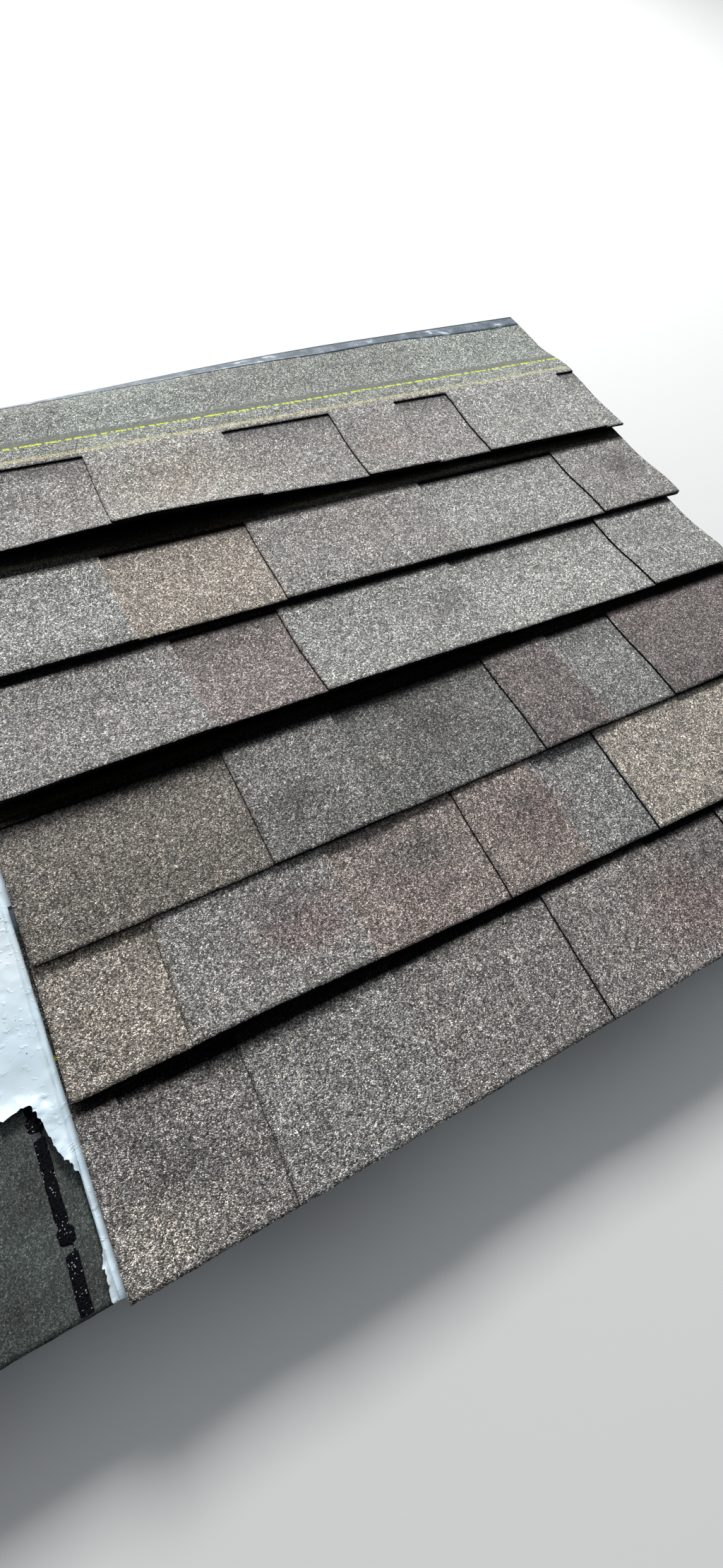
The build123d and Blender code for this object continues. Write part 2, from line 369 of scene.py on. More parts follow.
u, s, in_tooth, tooth_rows, backing_rows = shingle_grid(top_teeth, 3.0)
x, y = facedown_place(u, s)
waves = ripple(u, s)
keep = np.ones((x.shape[0] - 1, x.shape[1] - 1), bool)
keep[:tooth_rows, ~in_tooth] = False
facedown_sheet = ply_piece("facedown_sheet", x, y, sheet_high.z + waves, ply, keep, u, s,
                           [mineral_back, mineral_back, cut_edge])
finish_piece(facedown_sheet, "mineral_back", "facedown_toothed_sheet")

strip = slice(0, backing_rows + 1)
keep = np.ones((backing_rows, x.shape[1] - 1), bool)
facedown_strip = ply_piece("facedown_strip", x[strip], y[strip], facedown_high.z + waves[strip], ply, keep,
                           u[strip], s[strip], [mineral_back, mineral_back, cut_edge])
finish_piece(facedown_strip, "mineral_back", "facedown_backing_strip")


# ---- The face-down shingle's sealant ----
# A strip of black asphalt sealant is rolled on hot in long dashes beside the butt edge, and glues
# the shingle down once it is on a roof. Each dash ends in a blob, which draws a thin neck over to
# the next one.
first_dash = 0.0037
dash_length = 0.068
dash_pitch = 0.0864
dash_half_width = 0.0049
dash_wander = 0.003
dash_round = 0.0014
blob_half_width = 0.0064
blob_length = 0.0135
pinch = 0.3
pinch_length = 0.0016
neck_half_width = 0.0011
neck_shift = 0.0028
sealant_thickness = 0.0010
sealant_edge_distance = 0.0212
sealant_wander = 0.0009
sealant_end = 0.002
sealant_lumps = 420.0
bead_rows = 9
facedown_bead_step = 0.0011

# Glossy tar with a wrinkled skin, and a few glints painted on as bright specks
sealant, tree, shader = new_material("sealant", 0.24, 0.07)
place = place_of(tree)
skin = node(tree, "ShaderNodeTexNoise", Vector=place, Scale=420.0, Detail=5.0, Roughness=0.6)
painted_glints = node(tree, "ShaderNodeTexVoronoi", Vector=place, Scale=1300.0)
painted_glint = ramp(tree, painted_glints.outputs["Color"], ((0.885, 0.0), (0.895, 1.0)))
tar = ramp(tree, skin.outputs["Fac"], ((0.35, (0.0012, 0.0013, 0.0025)), (0.7, (0.004, 0.0045, 0.008))))
tree.links.new(blend(tree, painted_glint, tar, (0.42, 0.45, 0.50)), shader.inputs["Base Color"])
raise_relief(tree, shader, skin.outputs["Fac"], 0.0022)


def noise_over(a, b, seed):
    """Smooth noise between -1 and 1 over two grids of places."""
    return np.vectorize(lambda p, q: noise.noise((p, q, seed)), otypes=[float])(a, b)


def sealant_bead(at, surface, side, step, seed):
    """The points and faces of a strip of sealant dashes. at gives the plan place of (u, s), surface
    the height there, and side is 1 on top of it and -1 below it."""
    along = np.arange(sealant_end, shingle_length - sealant_end, step)
    phase = np.mod(along - first_dash + dash_wander * wander(along, 14.0, seed), dash_pitch)
    full_length = dash_length + blob_length

    # A dash swells into its blob, with a pinch where the two meet, and thins out into the neck.
    blob = np.exp(-((phase - dash_length - blob_length / 2) / (blob_length * 0.52)) ** 6)
    cover = np.clip(np.minimum(phase, full_length - phase) / dash_round, 0.0, 1.0) ** 0.5
    half = (dash_half_width + (blob_half_width - dash_half_width) * blob) * cover
    half *= 1.0 - pinch * np.exp(-((phase - dash_length) / pinch_length) ** 2)
    half = np.maximum(half, neck_half_width * (0.8 + 0.5 * wander(along, 260.0, seed)))
    half *= 1.0 + 0.10 * wander(along, 300.0, seed + 3.0)
    middle = sealant_wander * wander(along, 25.0, seed + 5.0) - neck_shift * (1.0 - cover)

    # Its top is a rounded crown with small lumps.
    across = np.linspace(-1.0, 1.0, bead_rows)[:, None]
    u = np.tile(along, (bead_rows, 1))
    s = sealant_edge_distance + middle + across * half
    crown = np.sqrt(np.clip(1.0 - across ** 2, 0.0, 1.0)) * np.clip(half / dash_half_width, 0.0, 1.2)
    lumps = noise_over(along * sealant_lumps, s[:, :1] * sealant_lumps, seed)
    raised = sealant_thickness * crown * (1.0 + 0.35 * blob) * (0.9 + 0.35 * lumps)
    x, y = at(u, s)
    z = surface(u, s) + side * raised
    return np.stack([x, y, z], -1).reshape(-1, 3), grid_faces(u.shape).reshape(-1, 4)


points, faces = sealant_bead(facedown_place, lambda u, s: facedown_high.z + ripple(u, s), 1,
                             facedown_bead_step, 2.0)
facedown_bead = shaded_mesh("facedown_sealant_strip", points.tolist(), faces.tolist(), [sealant])
finish_piece(facedown_bead, "sealant", "facedown_sealant")


# ---- The wrappers ----
# Each bundle is shrink-wrapped in white polyethylene film, drawn in over both ends round an oval
# hole. The opened bundle's film is torn back at its front, with a curled, ragged lip.
film_corner = 0.0008
film_touch = 0.00025
hole_half_length = 0.085
hole_half_height = 0.022
hole_lip = 0.0010
hole_lip_fade = 9.0
cap_rows = 12
cap_row_spacing = 0.8
cap_bend = 0.0015
cap_sink = 0.0014
cap_pleats = 0.0013
top_pleats = 0.0007
wide_pleats, narrow_pleats = 11.0, 27.0
pleat_reach = 0.085
loose_height = 0.0012
loose_dip = 0.0002
top_sharpness = 1e-5

# The tear runs through these places: how far left of the bundle's right side, and how far back
# from its front. A second number below 0 is how far down the front.
tear_line = ((0.004, -0.030), (0.001, 0.036), (-0.004, 0.058), (-0.004, 0.088), (0.002, 0.098),
             (0.008, 0.113), (0.0138, 0.130), (0.0145, 0.148), (0.019, 0.157), (0.028, 0.159),
             (0.041, 0.156), (0.076, 0.169), (0.118, 0.164), (0.166, 0.139), (0.214, 0.118),
             (0.262, 0.084), (0.290, 0.042), (0.312, -0.030))
torn_skin = 0.006
lip_width = 0.013
lip_height = 0.0085
lip_curls = 24.0
least_curl = 0.35

# How far the torn edge strays from that line, and its jags per metre, in long jags and short ones
long_jag, long_jags = 0.0030, 90.0
short_jag, short_jags = 0.0028, 330.0

# Steps between the points of the film, which are closer together on the torn top
base_step = 0.012
side_step = 0.009
closed_top_step = 0.008
closed_row_count = 90
torn_top_step = 0.0025
fine_row_step = 0.0022
fine_rows_end = 0.22
coarse_rows_start = 0.2225
coarse_row_count = 100

# Bluish white film, creased along the bundle, with crumples and small dents between the creases
film, tree, shader = new_material("wrapper_film", 0.38, 0.42)
place = place_of(tree)
clouds = node(tree, "ShaderNodeTexNoise", Vector=place, Scale=16.0, Detail=5.0)
pull = node(tree, "ShaderNodeTexNoise", Vector=place, Scale=11.0, Detail=3.0)
pulled = calculate(tree, "MULTIPLY_ADD", pull.outputs["Color"], (0.05, 0.05, 0.05), place,
                   kind="ShaderNodeVectorMath")
lengthwise = calculate(tree, "MULTIPLY", pulled, (1.0, 0.5, 1.0), kind="ShaderNodeVectorMath")
creases = node(tree, "ShaderNodeTexNoise", {"noise_type": "RIDGED_MULTIFRACTAL"}, Vector=lengthwise,
               Scale=22.0, Detail=5.0)
crumples = node(tree, "ShaderNodeTexVoronoi", {"feature": "SMOOTH_F1"}, Vector=pulled, Scale=70.0)
dents = node(tree, "ShaderNodeTexNoise", Vector=pulled, Scale=170.0, Detail=2.0)
dent = ramp(tree, dents.outputs["Fac"], ((0.56, 0.0), (0.76, 1.0)), "EASE")

# A few dark grains of grit from the shingles lie on the film.
grit = node(tree, "ShaderNodeTexVoronoi", Vector=place, Scale=170.0)
grit_spot = ramp(tree, grit.outputs["Distance"], ((0.07, 1.0), (0.12, 0.0)))
grit_chance = ramp(tree, grit.outputs["Color"], ((0.74, 0.0), (0.78, 1.0)), "CONSTANT")
grit_here = calculate(tree, "MULTIPLY", grit_spot, grit_chance)
white = ramp(tree, clouds.outputs["Fac"], ((0.3, (0.61, 0.74, 0.82)), (0.7, (0.75, 0.84, 0.885))))
tree.links.new(blend(tree, grit_here, white, (0.05, 0.05, 0.055)), shader.inputs["Base Color"])
crinkle = calculate(tree, "MULTIPLY_ADD", crumples.outputs["Distance"], 0.45, creases.outputs["Fac"])
crinkle = calculate(tree, "MULTIPLY_ADD", dent, 0.10, crinkle)
raise_relief(tree, shader, crinkle, 0.0036)


def sleeve_outline(half_width, half_height, top_step):
    """Points round a bundle's rounded cross-section, from the middle of its underside, and the
    matching points round the oval hole."""
    flat_x, flat_z = half_width - film_corner, half_height - film_corner
    quarter = [radians(angle) for angle in (15, 45, 75)]
    outline = [(x, -half_height) for x in np.linspace(0.0, flat_x, round(flat_x / base_step))]
    outline += [(flat_x + film_corner * sin(a), -flat_z - film_corner * cos(a)) for a in quarter]
    outline += [(half_width, z) for z in np.linspace(-flat_z, flat_z, round(2 * flat_z / side_step))]
    outline += [(flat_x + film_corner * cos(a), flat_z + film_corner * sin(a)) for a in quarter]
    outline += [(x, half_height) for x in np.linspace(flat_x, 0.0, round(flat_x / top_step))]
    outline += [(-x, z) for x, z in outline[-2:0:-1]]
    outline = np.array(outline)

    # The top and bottom draw in to the hole's straight sides, and the sides to its round ends.
    straight = hole_half_length - hole_half_height
    reach = np.clip(outline[:, 0] / half_width, -1.0, 1.0)
    run_x = reach * straight
    angle = np.arctan2(outline[:, 1] / half_height, np.abs(reach))
    turn = np.where(np.abs(outline[:, 1]) >= half_height - 1e-6, np.sign(outline[:, 1]) * pi / 2, angle * 2)
    turn = np.clip(turn, -pi / 2, pi / 2)
    side = np.where(outline[:, 0] >= 0.0, 1.0, -1.0)
    hole = np.stack([run_x + side * hole_half_height * np.cos(turn), hole_half_height * np.sin(turn)], -1)
    return outline, hole


def film_sleeve(low, high, top_step, row_places, seed, loose_top=False):
    """The grid of one wrapper's points, ring by ring from the hole at its front to the one at its
    back. A loose top has slack film on it, pleated towards its ends."""
    centre_x, centre_z = (low.x + high.x) / 2, (low.z + high.z) / 2
    half_height = (high.z - low.z) / 2
    outline, hole = sleeve_outline((high.x - low.x) / 2, half_height, top_step)
    closed = np.append(np.arange(len(outline)), 0)
    outline, hole = outline[closed], hole[closed]
    travel = np.concatenate([[0.0], np.cumsum(np.hypot(*np.diff(outline, axis=0).T))])
    round_x, round_z = np.array([(sin(t), cos(t)) for t in travel * 2 * pi / travel[-1]]).T
    pleats = (noise_over(round_x * wide_pleats, round_z * wide_pleats, seed)
              + 0.6 * noise_over(round_x * narrow_pleats, round_z * narrow_pleats, seed + 4.0))
    caps = []
    for outwards, face in ((-1.0, low.y), (1.0, high.y)):
        cap = []
        for share in np.linspace(0.0, 1.0, cap_rows, endpoint=False) ** cap_row_spacing:
            x, z = (hole + (outline - hole) * share).T
            gather = (cap_pleats * np.clip(pleats, -1.0, 1.0) - cap_sink) * (1.0 - share)
            y = face + outwards * (gather + hole_lip * np.exp(-share * hole_lip_fade))
            cap.append(np.column_stack([centre_x + x, y, centre_z + z]))
        caps.append(cap)
    across, up = outline.T
    on_top = up > half_height - top_sharpness
    sleeve = []
    for y in row_places:
        z = centre_z + up
        if loose_top:
            drawn = np.exp(-min(y - low.y, high.y - y) / pleat_reach)
            drift = (noise_over(across * 14.0, y * 14.0, seed + 9.0)
                     + 0.55 * noise_over(across * 37.0, y * 31.0, seed + 13.0))
            fold = noise_over(across * 22.0 + y * 6.0, y * 9.0 + across * 4.0, seed + 17.0)
            ridge = np.clip(1.0 - np.abs(fold) * 3.0, 0.0, 1.0)
            loose = loose_height * (0.5 + drift + 0.5 * ridge) + top_pleats * pleats * drawn
            z = z + np.where(on_top, np.maximum(loose, -loose_dip), 0.0)
        sleeve.append(np.column_stack([centre_x + across, np.full(len(z), y), z]))
    return np.stack(caps[0] + sleeve + caps[1][::-1])


def film_piece(name, points, faces):
    """A wrapper's mesh, with its seam closed and unused points left out."""
    used, faces = np.unique(faces, return_inverse=True)
    piece = shaded_mesh(name, points[used].tolist(), faces.reshape(-1, 4).tolist(), [film])
    weld = piece.modifiers.new("seam", "WELD")
    weld.merge_threshold = 1e-6
    return piece


closed_rows = np.linspace(layer_low.y + cap_bend, layer_high.y - cap_bend, closed_row_count)
points, faces = [], []
for number in range(1, bundle_count):
    right = min(opened_high.x + number * bundle_pitch + film_touch, layer_high.x)
    low = Vector((opened_low.x + number * bundle_pitch - film_touch, layer_low.y, layer_low.z))
    high = Vector((right, layer_high.y, layer_high.z))
    grid = film_sleeve(low, high, closed_top_step, closed_rows, 20.0 + number)
    faces.append(grid_faces(grid.shape[:2]).reshape(-1, 4) + sum(len(part) for part in points))
    points.append(grid.reshape(-1, 3))
closed_wrappers = film_piece("closed_wrappers", np.concatenate(points), np.concatenate(faces))
finish_piece(closed_wrappers, "wrapper_film", "bundle_wrappers")


def tear_distance(left, back):
    """How far a place on the film lies outside the tear, and below 0 inside it."""
    nearest = np.full(left.shape, 1.0)
    inside = np.zeros(left.shape, bool)
    for (ax, ay), (bx, by) in zip(tear_line, tear_line[1:] + tear_line[:1]):
        length = (bx - ax) ** 2 + (by - ay) ** 2
        share = np.clip(((left - ax) * (bx - ax) + (back - ay) * (by - ay)) / length, 0.0, 1.0)
        nearest = np.minimum(nearest, np.hypot(left - ax - share * (bx - ax), back - ay - share * (by - ay)))
        crosses = (ay > back) != (by > back)
        height = by - ay if by != ay else 1e-9
        inside ^= crosses & (left < (bx - ax) * (back - ay) / height + ax)
    return np.where(inside, -nearest, nearest)


torn_rows = np.concatenate([
    np.arange(opened_low.y + cap_bend, opened_low.y + fine_rows_end, fine_row_step),
    np.linspace(opened_low.y + coarse_rows_start, opened_high.y - cap_bend, coarse_row_count)])
touching_high = opened_high + Vector((film_touch, 0.0, 0.0))
grid = film_sleeve(opened_low, touching_high, torn_top_step, torn_rows, 41.0, loose_top=True)

# Where each point is on the tear's plan. Only the front and the skin of the top are torn.
left = opened_high.x - grid[..., 0]
below_top = opened_high.z - grid[..., 2]
on_front = np.zeros(grid.shape[:2], bool)
on_front[:cap_rows] = True
back = np.where(on_front, -below_top, grid[..., 1] - opened_low.y)
ragged = (long_jag * noise_over(left * long_jags, back * long_jags, 3.0)
          + short_jag * noise_over(left * short_jags, back * short_jags, 8.0))
outside = np.where(on_front | (below_top < torn_skin), tear_distance(left, back) + ragged, 1.0)
cells = grid_faces(outside.shape)
torn_faces = cells[outside.ravel()[cells].max(-1) > 0.0]

# Points just inside the tear move out onto its edge, towards each neighbour that is outside it.
snapped = grid.copy()
for shift in ((0, -1), (0, 1), (-1, 0), (1, 0), (-1, -1), (1, 1), (-1, 1), (1, -1)):
    neighbour = np.roll(outside, shift, (0, 1))
    neighbour_place = np.roll(grid, shift, (0, 1))
    crossing = (outside < 0.0) & (neighbour > 0.0)
    share = (neighbour / np.maximum(neighbour - outside, 1e-9))[..., None]
    snapped = np.where(crossing[..., None], neighbour_place + (grid - neighbour_place) * share, snapped)
near = np.clip(1.0 - np.maximum(outside, 0.0) / lip_width, 0.0, 1.0) * ~on_front
curl = np.maximum(0.0, 0.5 + 1.3 * noise_over(left * lip_curls, back * lip_curls, 12.0))
curl = least_curl + (1.0 - least_curl) * curl
snapped[..., 2] += lip_height * curl * near ** 2
torn_film = film_piece("torn_wrapper_film", snapped.reshape(-1, 3), torn_faces)
finish_piece(torn_film, "wrapper_film", "torn_wrapper")


# ---- The fanned shingles ----
# Six laminated shingles: a sheet with teeth cut along its lower half is glued over a backing
# strip, and mineral granules are pressed into both. The colour changes from drop to drop.
grey = (0.266, 0.265, 0.260)
light_grey = (0.298, 0.306, 0.299)
pale_grey = (0.345, 0.356, 0.346)
slate = (0.266, 0.272, 0.272)
taupe = (0.258, 0.250, 0.243)
brown = (0.262, 0.244, 0.222)
tan = (0.315, 0.290, 0.258)
rust = (0.285, 0.254, 0.240)
russet = (0.230, 0.207, 0.203)
sand = (0.372, 0.346, 0.310)
maroon = (0.215, 0.168, 0.164)
green_grey = (0.232, 0.236, 0.225)
dark = (0.140, 0.137, 0.135)

# Each course from the bottom: its teeth, the colour of each tooth and recess along it, and its
# blotches as (u, s, radius, colour, strength)
courses = (
    (((0.0, 0.035), (0.140, 0.291), (0.469, 0.610), (0.716, 0.884)),
     (taupe, taupe, grey, taupe, taupe, taupe, grey, taupe),
     ((0.058, 0.068, 0.034, dark, 1.0), (0.029, 0.111, 0.024, dark, 0.8),
      (0.030, 0.030, 0.045, sand, 0.7), (0.62, 0.064, 0.075, maroon, 0.8),
      (0.66, 0.10, 0.05, dark, 0.5))),
    (((0.106, 0.283), (0.438, 0.542), (0.636, 0.872)),
     (tan, grey, rust, rust, slate, sand, sand),
     ((0.238, 0.060, 0.045, maroon, 0.9), (0.225, 0.078, 0.026, dark, 0.5),
      (0.369, 0.081, 0.036, dark, 0.85), (0.350, 0.04, 0.05, maroon, 0.5),
      (0.514, 0.073, 0.045, maroon, 0.9), (0.505, 0.085, 0.024, dark, 0.6))),
    (((0.233, 0.362), (0.569, 0.666), (0.770, shingle_length)),
     (brown, grey, green_grey, russet, light_grey, russet),
     ((0.271, 0.053, 0.028, dark, 0.85), (0.463, 0.088, 0.048, dark, 0.85))),
    (((0.0, 0.224), (0.358, 0.603), (0.853, shingle_length)),
     (grey, russet, light_grey, pale_grey, light_grey),
     ((0.556, 0.072, 0.030, dark, 0.6),)),
    (((0.0, 0.171), (0.360, 0.621), (0.858, shingle_length)),
     (light_grey, tan, grey, light_grey, grey),
     ((0.955, 0.085, 0.040, dark, 0.9), (0.5, 0.10, 0.06, rust, 0.4))),
    (top_teeth,
     (grey, grey, light_grey, grey, grey, grey, light_grey, light_grey),
     ((0.29, 0.066, 0.095, tan, 0.85), (0.60, 0.06, 0.04, rust, 0.7), (0.507, 0.135, 0.02, dark, 0.25))),
)

# Painted light: how much brighter each course's granules are made, for how the light falls on that course
course_painted_light = (1.31, 1.21, 1.01, 1.24, 1.32, 1.37)

# Darker towards the top of the recesses: partly the shadow band printed on real shingles, partly painted
# shade.
# Where the next course laps over a shingle, a painted shadow makes it almost black. The painted shadow starts
# a little further up at the shingle's first end, and is lighter right at that end.
recess_band_and_painted_shades = (0.4, 0.4, 0.4, 0.4, 0.4, 0.6)
recess_band_and_painted_shade_run = 0.036
recess_band_and_painted_shade_past = 0.01
painted_lap_shadow = 0.03
painted_lap_shadow_starts = (0.129, 0.135, 0.137, 0.137, 0.137, shingle_height)
painted_lap_shadow_run = 0.004
painted_lap_shadow_taper = 0.006
painted_lap_shadow_taper_end = 0.12
painted_lap_shadow_fade_end = 0.006
painted_lap_shadow_fade_share = 0.35

# Lines along the upper half: pale sand, the fine-grained nail band and a chalk line on its edge
line_drift = 0.004
headlap_fade = 0.004
sand_line_centre = 0.1575
sand_line_half_width = 0.0022
nail_band_centre = 0.1985
nail_band_half_width = 0.0065
chalk_line_centre = 0.191
chalk_line_half_width = 0.0013
chalk_spread = 0.0022

# Painted highlight along the cut edges, as if they caught the light: the butt, and the far side of each tooth
butt_painted_highlight = 0.93
side_painted_highlight = 1.0
painted_highlight_narrowness = 7.0

# Each granule has its own tone and hue, with finer and coarser ones among them, dark crevices
# between them and a slow mottle over all.
granules, tree, shader = new_material("granules", 0.82, 0.35)
place = place_of(tree)
# The tint's fourth value is a painted shadow, almost black where the next course lies over a shingle.
drop = node(tree, "ShaderNodeAttribute", {"attribute_name": "tint"})
tint, painted_shadow = drop.outputs["Color"], drop.outputs["Alpha"]
grains = node(tree, "ShaderNodeTexVoronoi", Vector=place, Scale=920.0)
split = node(tree, "ShaderNodeSeparateColor", Color=grains.outputs["Color"])
fines = node(tree, "ShaderNodeTexVoronoi", Vector=place, Scale=1600.0)
clumps = node(tree, "ShaderNodeTexVoronoi", Vector=place, Scale=450.0)
tone = ramp(tree, split.outputs[0], ((0.0, 0.26), (0.30, 0.66), (0.55, 1.15), (0.8, 1.75), (1.0, 2.7)))
hue = ramp(tree, split.outputs[1], ((0.0, (1.14, 1.0, 0.86)), (0.3, (1.03, 1.0, 0.97)),
                                    (0.7, (0.96, 1.0, 1.02)), (1.0, (1.12, 0.97, 0.90))))
fine_split = node(tree, "ShaderNodeSeparateColor", Color=fines.outputs["Color"])
fine_tone = ramp(tree, fine_split.outputs[0], ((0.0, 0.42), (0.5, 0.86), (0.8, 1.35), (1.0, 2.0)))
clump_tone = ramp(tree, clumps.outputs["Color"], ((0.1, 0.50), (0.6, 1.0), (0.9, 1.75)))
crevice = ramp(tree, grains.outputs["Distance"], ((0.25, 1.10), (0.75, 0.42)))
mottle = node(tree, "ShaderNodeTexNoise", Vector=place, Scale=70.0, Detail=4.0, Roughness=0.6)
mottle_tone = ramp(tree, mottle.outputs["Fac"], ((0.3, 0.80), (0.7, 1.22)))
colour = tint
for layer in (tone, hue, fine_tone, clump_tone, crevice, mottle_tone):
    colour = multiply(tree, colour, layer)


def along_and_up(tree):
    """u and s of a point on a shingle."""
    layout = node(tree, "ShaderNodeUVMap", {"uv_map": "layout"}).outputs["UV"]
    layout = node(tree, "ShaderNodeSeparateXYZ", Vector=layout)
    return layout.outputs["X"], layout.outputs["Y"]


def line_mask(tree, position, centre, half_width, softness):
    """1 on a line along the shingle and 0 away from it."""
    away = calculate(tree, "ABSOLUTE", calculate(tree, "SUBTRACT", position, centre))
    return node(tree, "ShaderNodeMapRange", {"interpolation_type": "SMOOTHSTEP"}, Value=away,
                From_Min=half_width, From_Max=half_width + softness, To_Min=1.0, To_Max=0.0).outputs[0]


# The headlap above the sand line is greener and darker, and the lines drift a little.
along, up = along_and_up(tree)
drift = node(tree, "ShaderNodeTexNoise", {"noise_dimensions": "1D"}, W=along, Scale=9.0, Detail=3.0)
up = calculate(tree, "MULTIPLY_ADD", calculate(tree, "SUBTRACT", drift.outputs["Fac"], 0.5), line_drift, up)
headlap = node(tree, "ShaderNodeMapRange", Value=up, From_Min=sand_line_centre - headlap_fade,
               From_Max=sand_line_centre + headlap_fade)
colour = blend(tree, headlap.outputs[0], colour, multiply(tree, colour, (0.81, 0.87, 0.84)))
fine_band = line_mask(tree, up, nail_band_centre, nail_band_half_width, 0.006)
powder = node(tree, "ShaderNodeTexNoise", Vector=place, Scale=1500.0, Detail=2.0)
powder_tone = ramp(tree, powder.outputs["Fac"], ((0.3, (0.098, 0.110, 0.094)), (0.7, (0.184, 0.202, 0.174))))
colour = blend(tree, calculate(tree, "MULTIPLY", fine_band, 0.78), colour, powder_tone)
sand_grains = ramp(tree, split.outputs[2], ((0.46, 0.0), (0.54, 0.85)))
sand_line = line_mask(tree, up, sand_line_centre, sand_line_half_width, 0.0034)
colour = blend(tree, calculate(tree, "MULTIPLY", sand_line, sand_grains), colour, (0.70, 0.62, 0.34))

# The chalk takes on some grains more than others and breaks off here and there.
dash = node(tree, "ShaderNodeTexNoise", {"noise_dimensions": "1D"}, W=along, Scale=150.0, Detail=6.0)
dash_mask = ramp(tree, dash.outputs["Fac"], ((0.42, 0.0), (0.50, 1.0)))
spread = calculate(tree, "MULTIPLY_ADD", split.outputs[1], chalk_spread, up)
chalk = line_mask(tree, spread, chalk_line_centre + chalk_spread / 2, chalk_line_half_width, 0.0012)
chalk = calculate(tree, "MULTIPLY", chalk, dash_mask)
chalk = calculate(tree, "MULTIPLY", chalk, ramp(tree, split.outputs[2], ((0.12, 0.35), (0.3, 1.0))))
colour = blend(tree, chalk, colour, (0.80, 0.88, 0.03))

# A highlight is painted along the cut edges, and under the next course a painted shadow makes the granules
# almost black and takes away their gloss.
painted_highlight = node(tree, "ShaderNodeAttribute", {"attribute_name": "painted_highlight"}).outputs["Fac"]
painted_highlight = calculate(tree, "POWER", painted_highlight, painted_highlight_narrowness)
colour = blend(tree, painted_highlight, colour, multiply(tree, colour, (1.9, 1.88, 1.85)))
tree.links.new(multiply(tree, colour, painted_shadow), shader.inputs["Base Color"])
tree.links.new(calculate(tree, "MULTIPLY", painted_shadow, 0.35), shader.inputs["Specular IOR Level"])
raise_relief(tree, shader, grains.outputs["Distance"], -0.0010)


def surface_of(name):
    """A CAD node's surface, to measure heights on."""
    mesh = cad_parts[name].data
    return BVHTree.FromPolygons([v.co for v in mesh.vertices], [p.vertices for p in mesh.polygons])


def height_on(surface, x, y):
    """Height of a surface above one place."""
    return surface.ray_cast(Vector((x, y, 1.0)), Vector((0.0, 0.0, -1.0)))[0].z


def smoothed(values, axis, passes):
    """A grid evened out along one of its axes."""
    for _ in range(passes):
        pad = [(1, 1) if i == axis else (0, 0) for i in range(2)]
        wide = np.pad(values, pad, mode="reflect", reflect_type="odd")
        low = np.take(wide, range(0, values.shape[axis]), axis)
        high = np.take(wide, range(2, values.shape[axis] + 2), axis)
        values = 0.25 * low + 0.5 * values + 0.25 * high
    return values


def between(grid, rows, columns, u, s):
    """A grid's value at any (u, s), from the four points round it."""
    row = np.clip(np.searchsorted(rows, s) - 1, 0, len(rows) - 2)
    column = np.clip(np.searchsorted(columns, u) - 1, 0, len(columns) - 2)
    up = (s - rows[row]) / (rows[row + 1] - rows[row])
    right = (u - columns[column]) / (columns[column + 1] - columns[column])
    low = grid[row, column] * (1.0 - right) + grid[row, column + 1] * right
    high = grid[row + 1, column] * (1.0 - right) + grid[row + 1, column + 1] * right
    return low * (1.0 - up) + high * up


# Where seats are measured: off the CAD nodes' edges, and evened out up and along the shingle. One
# column and row of the grid that no cut edge bends stand for all of them.
edge_inset = 0.001
seat_passes_up = 8
seat_passes_along = 60
plain_column = 5
plain_row = 20


def lie_of_course(number, u, s):
    """How the shingle of one course lies on the fan: what gives the plan place of any (u, s), the
    height of its seat at each grid point, and what gives that height at any (u, s). Its seat is
    the underside of its toothed sheet, bent over the courses below."""
    plan = np.array([v.co[:2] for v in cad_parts[f"backing_strip_{number}"].data.vertices])
    corner = plan[np.argmin(plan @ (1.0, 1.0))]
    far_corner = plan[np.argmax(plan @ (1.0, -1.0))]
    along = (far_corner - corner) / np.linalg.norm(far_corner - corner)

    def at(u, s):
        return corner[0] + u * along[0] - s * along[1], corner[1] + u * along[1] + s * along[0]

    strip_surface = surface_of(f"backing_strip_{number}")
    sheet_surface = surface_of(f"toothed_sheet_{number}")
    safe_s = np.clip(s, edge_inset, shingle_height - edge_inset)
    safe_x, safe_y = at(np.clip(u, edge_inset, shingle_length - edge_inset), safe_s)
    seat = []
    for row_x, row_y, top in zip(safe_x, safe_y, safe_s.max(1)):
        over_strip = top < backing_height - edge_inset
        surface, rise = (strip_surface, lamination_gap) if over_strip else (sheet_surface, -ply)
        seat.append([height_on(surface, x, y) + rise for x, y in zip(row_x, row_y)])
    seat = smoothed(smoothed(np.array(seat), 0, seat_passes_up), 1, seat_passes_along)
    rows, columns = s[:, plain_column].copy(), u[plain_row].copy()

    def seat_at(u, s):
        return between(seat, rows, columns, u, s)

    return at, seat, seat_at


